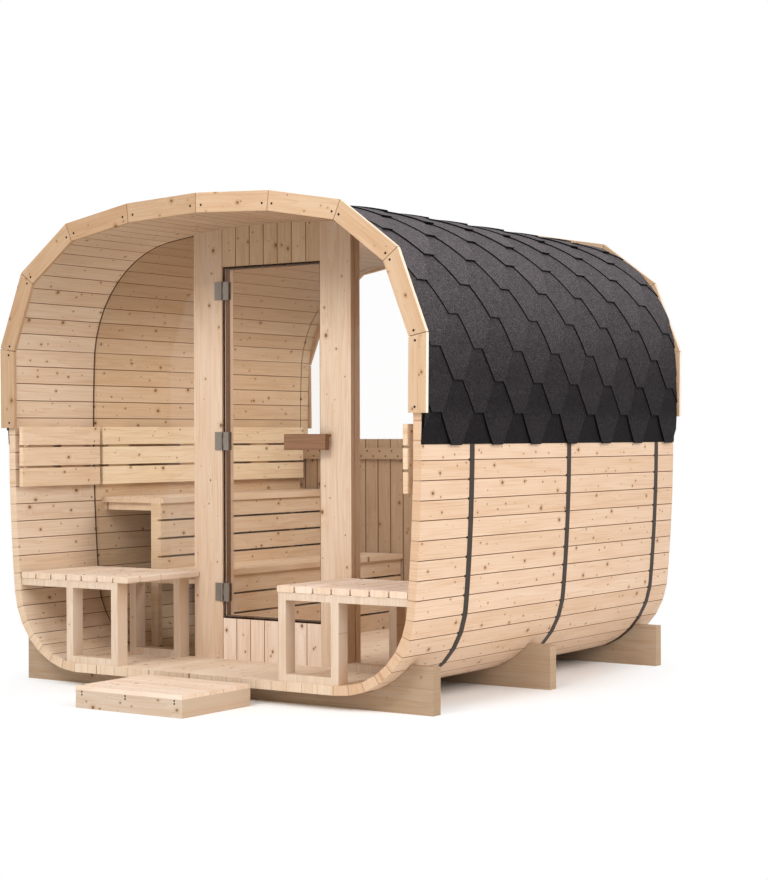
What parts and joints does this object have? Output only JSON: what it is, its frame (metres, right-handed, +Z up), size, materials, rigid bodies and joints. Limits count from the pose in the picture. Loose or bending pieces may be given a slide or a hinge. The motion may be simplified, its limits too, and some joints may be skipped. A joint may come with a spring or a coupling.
{
  "type": "barrel sauna",
  "caption": "Wooden garden sauna with a staved rounded-square shell, open porch, glazed front with a glass door, shingled roof, benches and a step.",
  "frame": {"origin": "on the ground under the middle of the middle cradle, which is its flat underside", "axes": "+X across to the right as seen from the front, +Y from the porch to the rear, +Z up"},
  "size_m": [2.553, 3.006, 2.35],
  "materials": {
    "shell_spruce": "bare planed spruce staves",
    "cradle_spruce": "bare planed spruce planks on edge",
    "trim_spruce": "bare planed spruce fascia boards",
    "wall_spruce": "bare planed spruce boards and posts",
    "bench_spruce": "bare smooth spruce slats with eased edges",
    "step_spruce": "bare spruce boards",
    "roof_shingle": "charcoal mineral-granule bitumen shingle",
    "band_steel": "dark brown-grey coated steel strap",
    "window_glass": "clear toughened glass",
    "door_glass": "lightly tinted toughened glass",
    "hinge_metal": "satin nickel",
    "catch_metal": "satin steel",
    "handle_wood": "smooth brown heat-treated wood"
  },
  "bodies": {
    "root": {"cradle_front": "cradle_spruce", "cradle_middle": "cradle_spruce", "cradle_rear": "cradle_spruce", "door_catch": "catch_metal", "door_header": "wall_spruce", "door_sill": "wall_spruce", "floor_staves": "shell_spruce", "front_fascia_left": "trim_spruce", "front_fascia_right": "trim_spruce", "inner_backrest": "bench_spruce", "left_corner_staves": "shell_spruce", "left_door_post": "wall_spruce", "left_porch_backrest": "bench_spruce", "left_porch_bench_frames": "bench_spruce", "left_porch_bench_slats": "bench_spruce", "left_roof_covering": "roof_shingle", "left_shoulder_staves": "shell_spruce", "left_side_glass": "window_glass", "left_side_staves": "shell_spruce", "lower_bench_riser": "bench_spruce", "lower_bench_top": "bench_spruce", "post_hinge_plates": "hinge_metal", "rear_fascia_left": "trim_spruce", "rear_fascia_right": "trim_spruce", "rear_glass": "window_glass", "rear_wall_boards": "wall_spruce", "rear_wall_rail": "wall_spruce", "right_corner_staves": "shell_spruce", "right_door_post": "wall_spruce", "right_porch_backrest": "bench_spruce", "right_porch_bench_frames": "bench_spruce", "right_porch_bench_slats": "bench_spruce", "right_roof_covering": "roof_shingle", "right_shoulder_staves": "shell_spruce", "right_side_glass": "window_glass", "right_side_staves": "shell_spruce", "roof_staves": "shell_spruce", "steel_bands": "band_steel", "step_box": "step_spruce", "step_planks": "step_spruce", "upper_bench_riser": "bench_spruce", "upper_bench_top": "bench_spruce"},
    "door": {"door_glass": "door_glass", "door_hinge_clamps": "hinge_metal", "door_handles": "handle_wood"}
  },
  "joints": [
    {"name": "door_hinge", "type": "hinge", "parent": "root", "child": "door", "pos_m": [-0.3005, -0.638, 1.195], "axis": [0, 0, -1], "range_deg": [0, 100]}
  ]
}
